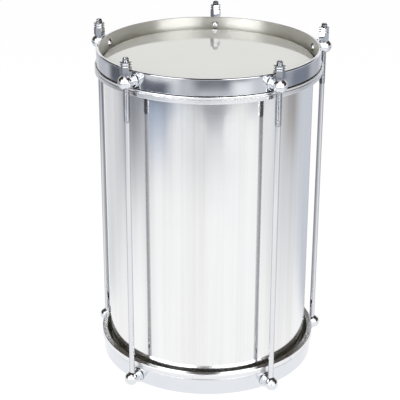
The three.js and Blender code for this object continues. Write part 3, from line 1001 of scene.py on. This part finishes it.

# %% [markdown]
# ## White paper
# The drum stands on a wide sheet of white paper. For the camera most of its white is a glow, and
# the small share that is plain paper keeps the drum's shadow. The glow lights nothing else, so
# the drum is lit at a plain level and colours come out about as they are written.
#
# Polished metal shows its surroundings and nothing else. The shell looks down at the paper
# round the drum: low on the shell the paper is near and white, high on the shell it is far
# away. So for mirror rays only, the paper carries painted reflections: soft grey, blue and
# white fields that set the tones in the shell, the hoops and the balls. Each field has a
# direction from the drum, a half width, and the distances between which it fades in, and a
# later field covers an earlier one.

# %% Painted reflections: soft fields that only mirrors see
NEAR_FIELDS = (
    # direction, half width and softness in degrees; near and far in metres; tone
    (-112, 46, 26, 0.10, 0.70, (0.70, 0.71, 0.73)),
    (-150, 42, 18, 0.06, 0.26, (0.74, 0.75, 0.77)),
    (-82, 17, 16, 0.42, 0.95, (0.27, 0.28, 0.31)),
    (-50, 15, 8, 0.55, 1.00, (0.37, 0.45, 0.60)),
    (0, 30, 24, 0.45, 0.90, (0.76, 0.77, 0.79)),
    (9, 9, 8, 0.78, 0.98, (0.38, 0.39, 0.42)),
    (98, 30, 24, 0.02, 0.62, (0.70, 0.71, 0.74)),
    (104, 15, 15, 0.55, 0.92, (0.39, 0.375, 0.37)),
    (150, 36, 14, 0.00, 0.20, (0.60, 0.63, 0.69)),
    (-32, 14, 6, 0.88, 0.965, (0.34, 0.41, 0.56)),
    (8, 26, 12, 0.88, 0.965, (0.30, 0.31, 0.35)),
    (50, 8, 8, 0.90, 0.965, (0.46, 0.47, 0.50)),
)
FAR_FIELDS = (
    (-1, 9, 7, 0.945, 0.97, (0.26, 0.27, 0.31)),
    (8, 28, 6, 0.974, 0.986, (0.22, 0.23, 0.26)),
    (-58, 18, 8, 0.965, 0.99, (0.07, 0.08, 0.10)),
    (0, 200, 1, 1.00, 1.04, (0.72, 0.73, 0.75)),
    (-95, 17, 9, 1.00, 1.04, (0.12, 0.13, 0.15)),
    (-51, 17, 8, 1.00, 1.04, (0.14, 0.15, 0.18)),
    (-40, 20, 4, 1.105, 1.115, (1.00, 1.00, 1.00)),
    (-14, 10, 4, 1.00, 1.04, (0.60, 0.61, 0.63)),
    (8, 17, 8, 1.040, 1.105, (0.15, 0.16, 0.18)),
    (36, 9, 7, 1.00, 1.04, (1.00, 1.00, 1.00)),
    (74, 12, 6, 1.06, 1.10, (0.25, 0.26, 0.29)),
    (18, 26, 9, 1.106, 1.122, (0.13, 0.14, 0.17)),
    (107, 22, 13, 1.00, 1.04, (0.22, 0.24, 0.29)),
    (-128, 14, 8, 1.00, 1.04, (0.56, 0.57, 0.60)),
    (138, 14, 10, 1.00, 1.04, (0.50, 0.51, 0.54)),
    (0, 200, 1, 1.128, 1.140, (0.42, 0.43, 0.46)),
    (-105, 45, 10, 1.128, 1.140, (0.17, 0.18, 0.21)),
    (115, 45, 10, 1.128, 1.140, (0.60, 0.62, 0.66)),
    (0, 62, 8, 1.25, 1.28, (1.00, 1.00, 1.00)),
)
print(len(NEAR_FIELDS), "near fields and", len(FAR_FIELDS), "far ones")

# %% Helpers that read a direction
def smooth(tree, value, start, end):
    return add_node(tree, "ShaderNodeMapRange", {"interpolation_type": "SMOOTHSTEP"}, {
        "Value": value, "From Min": start, "From Max": end}).outputs[0]


def bearing(tree, x, y):
    """The direction from the drum in degrees: 0 is to the front and 90 to the right."""
    angle = calc(tree, "ARCTAN2", x, times(tree, y, -1))
    return times(tree, angle, 180 / math.pi)


def with_fields(tree, colour, fields, direction, reach):
    for centre, half, soft, near, far, tone in fields:
        aside = calc(tree, "ABSOLUTE", minus(tree, direction, centre))
        there = times(tree, smooth(tree, aside, half + soft, half - soft),
                     smooth(tree, reach, near, far))
        colour = blended(tree, there, colour, tone)
    return colour


print("Helpers: smooth, bearing and with_fields")

# %% [markdown]
# ## Painted arches of reflected light
# Two pale arches of painted reflection stand high on the shell. A straight field can't give
# their round tops, so each arch is an ellipse above its foot and keeps straight sides below
# it. The far fields come after the arches, because the hoops and the balls see farther out
# than the shell does.

# %% Painted arches of reflection on the paper
ARCHES = (
    # direction and half width in degrees; foot of the curve and rise in metres; softness; tone
    (-18, 20, 0.86, 0.120, 0.10, (0.84, 0.86, 0.88)),
    (32, 13, 0.87, 0.095, 0.14, (1.00, 1.00, 1.00)),
)
ARCHES_FADE_IN = (0.70, 0.90)


def with_arches(tree, colour, direction, reach):
    for centre, half, foot, rise, soft, tone in ARCHES:
        aside = calc(tree, "DIVIDE", minus(tree, direction, centre), half)
        above = calc(tree, "MAXIMUM", minus(tree, reach, foot), 0.0)
        off = length_of(tree, aside, calc(tree, "DIVIDE", above, rise))
        there = times(tree, smooth(tree, off, 1 + soft, 1 - soft),
                     smooth(tree, reach, *ARCHES_FADE_IN))
        colour = blended(tree, there, colour, tone)
    return colour


# Painted reflections: the fields and arches that only mirror and glass rays see on the paper.
def painted_reflections(tree):
    x, y, _ = own_place(tree)
    seen_from = bearing(tree, x, y), length_of(tree, x, y)
    colour = with_fields(tree, (1.0, 1.0, 1.0), NEAR_FIELDS, *seen_from)
    return with_fields(tree, with_arches(tree, colour, *seen_from), FAR_FIELDS, *seen_from)


print(len(ARCHES), "arches of light")

# %% The paper
PAPER_HEIGHT = cad_box[0][2] - 0.3 * MM
PAPER_RADIUS = 3.0
PAPER_COLOUR = (0.95, 0.95, 0.95)
PAPER_GLOW = (1.03, 1.03, 1.03)
GLOW_SEEN = 0.95


def sees_background(tree):
    """Whether a ray comes from the camera, a mirror or glass, and whether from the last two."""
    rays = add_node(tree, "ShaderNodeLightPath").outputs
    mirrored = calc(tree, "MAXIMUM", rays["Is Glossy Ray"], rays["Is Transmission Ray"])
    return calc(tree, "MAXIMUM", rays["Is Camera Ray"], mirrored), mirrored


def paper_floor():
    mesh = bmesh.new()
    bmesh.ops.create_circle(mesh, cap_ends=True, segments=96, radius=PAPER_RADIUS)
    bmesh.ops.translate(mesh, verts=mesh.verts, vec=(0, 0, PAPER_HEIGHT))
    floor = in_scene("paper_floor", as_mesh(mesh, "paper_floor"))
    material, tree, shader = blank_material("white_paper")
    tree.nodes.remove(shader)
    seen, mirrored = sees_background(tree)
    paper = add_node(tree, "ShaderNodeBsdfDiffuse", inputs={"Color": (*PAPER_COLOUR, 1)})
    tone = blended(tree, mirrored, PAPER_GLOW, painted_reflections(tree))
    glow = add_node(tree, "ShaderNodeEmission", inputs={"Color": tone, "Strength": 1.0})
    factor = calc(tree, "MAXIMUM", times(tree, seen, GLOW_SEEN), mirrored)
    both = add_node(tree, "ShaderNodeMixShader", inputs={
        0: factor, 1: paper.outputs[0], 2: glow.outputs[0]})
    tree.links.new(both.outputs[0], tree.nodes["Material Output"].inputs["Surface"])
    floor.data.materials.append(material)


paper_floor()
print(f"The paper lies at {PAPER_HEIGHT / MM:.1f} mm")

# %% [markdown]
# ## The room
# Mirrors see a studio that is dark overhead and on three sides, and white behind the drum. The
# dark part draws the thin line along the edges of the hoops and the black shoulders of the
# chromed balls. The camera sees white all round, and the room itself gives hardly any light.

# %% The room
ROOM_LIGHT = 0.04
WHITE = (1.0, 1.0, 1.0)
DARK_CEILING = (0.05, 0.04, 0.03)
DARK_SIDES = (0.07, 0.055, 0.045)


def room_world():
    world = bpy.data.worlds.new("studio_room")
    bpy.context.scene.world = world
    world.use_nodes = True
    tree = world.node_tree
    tree.nodes.clear()
    place = add_node(tree, "ShaderNodeTexCoord").outputs["Generated"]
    x, y, rise = add_node(tree, "ShaderNodeSeparateXYZ", inputs={0: place}).outputs
    seen, mirrored = sees_background(tree)
    aside = calc(tree, "ABSOLUTE", bearing(tree, x, y))
    sides = times(tree, smooth(tree, aside, 145, 128), smooth(tree, rise, -0.02, 0.06))
    tone = blended(tree, smooth(tree, rise, 0.33, 0.42), WHITE, DARK_CEILING)
    tone = blended(tree, sides, tone, DARK_SIDES)
    tone = blended(tree, mirrored, WHITE, tone)
    strength = plus(tree, times(tree, seen, 1 - ROOM_LIGHT), ROOM_LIGHT)
    glow = add_node(tree, "ShaderNodeBackground", inputs={"Color": tone, "Strength": strength})
    add_node(tree, "ShaderNodeOutputWorld", inputs={"Surface": glow.outputs[0]})


room_world()
print("The room lights the drum at", ROOM_LIGHT, "of its white")

# %% [markdown]
# ## Softboxes
# Two large softboxes flank the camera, and every chromed ball shows them as two white lobes
# with a small gap between. One strength doesn't suit every finish: light that makes the milky
# film bright would burn out polished metal. So light linking gives three groups of pieces
# softboxes of their own, in nearly the same places: strong ones for the film, the channels and
# the rods, weak ones for the shell and the hoops, and larger ones lower down for the lugs,
# screws and nuts, with an oval one overhead that whitens their tops.

# %% Groups of pieces that share their lamps
def group(name, pieces):
    lit = bpy.data.collections.new(name)
    for piece in pieces:
        lit.objects.link(piece)
    print(f"{name}: {len(pieces)} pieces")
    return lit


def finished_in(*finishes):
    metals = [METALS[finish] for finish in finishes]
    return [piece for piece in bpy.context.scene.objects
            if piece.type == "MESH" and piece.data.materials[0] in metals]


chromed = finished_in("lug_chrome")
mirrors = finished_in("hoop_chrome", "polished_aluminium")
rest = [piece for piece in bpy.context.scene.objects
        if piece.type == "MESH" and piece not in chromed + mirrors]
FITTINGS = group("fittings", chromed)
MIRRORS = group("hoops_and_shell", mirrors)
REST = group("all_the_rest", rest)

# %% Softboxes
LAMP_DISTANCE = 1.6
SOFTBOXES = (
    # name; group; azimuth and elevation in degrees; width and height in metres; watts; shape
    ("left_softbox", REST, -36, 24, (1.30, 1.20), 32, "RECTANGLE"),
    ("right_softbox", REST, 38, 24, (1.40, 1.20), 33, "RECTANGLE"),
    ("left_metal_softbox", MIRRORS, -38, 24, (0.96, 1.20), 9, "RECTANGLE"),
    ("right_metal_softbox", MIRRORS, 37, 24, (0.96, 1.20), 9, "RECTANGLE"),
    ("left_fitting_softbox", FITTINGS, -32, 17, (1.80, 1.75), 13, "RECTANGLE"),
    ("right_fitting_softbox", FITTINGS, 33, 15, (1.80, 1.65), 12, "RECTANGLE"),
    ("top_fitting_softbox", FITTINGS, 2, 55, (1.60, 1.90), 9, "ELLIPSE"),
)

for name, lit, azimuth, elevation, size, power, shape in SOFTBOXES:
    data = bpy.data.lights.new(name, "AREA")
    data.shape = shape
    data.size, data.size_y = size
    data.energy = power
    lamp = in_scene(name, data)
    side, up = math.radians(azimuth), math.radians(elevation)
    away = Vector((math.sin(side) * math.cos(up), -math.cos(side) * math.cos(up), math.sin(up)))
    lamp.location = LAMP_DISTANCE * away
    lamp.rotation_euler = away.to_track_quat("Z", "Y").to_euler()
    lamp.light_linking.receiver_collection = lit
print(len(SOFTBOXES), "softboxes")

# %% [markdown]
# ## The camera
# The camera stands a little over a metre away and looks down by 23 degrees. Its place and lens
# were fitted to the rims, the rods and the shell's outline, so the drum fills the frame as in
# the photograph.

# %% The camera
CAMERA_PLACE = Vector((0.068615, -1.154385, 0.342255))
HEADING, DOWN, ROLL = math.radians(3.798), math.radians(23.086), math.radians(0.178)

lens = bpy.data.cameras.new("camera")
lens.lens = 111.49
lens.sensor_width = 36
camera = in_scene("camera", lens)
turn = (Matrix.Rotation(HEADING, 4, "Z") @ Matrix.Rotation(math.pi / 2 - DOWN, 4, "X")
        @ Matrix.Rotation(ROLL, 4, "Z"))
camera.matrix_world = Matrix.Translation(CAMERA_PLACE) @ turn
bpy.context.scene.camera = camera
bpy.context.scene.view_settings.view_transform = "Standard"
print(f"The camera stands {CAMERA_PLACE.length:.2f} m from the upper head")
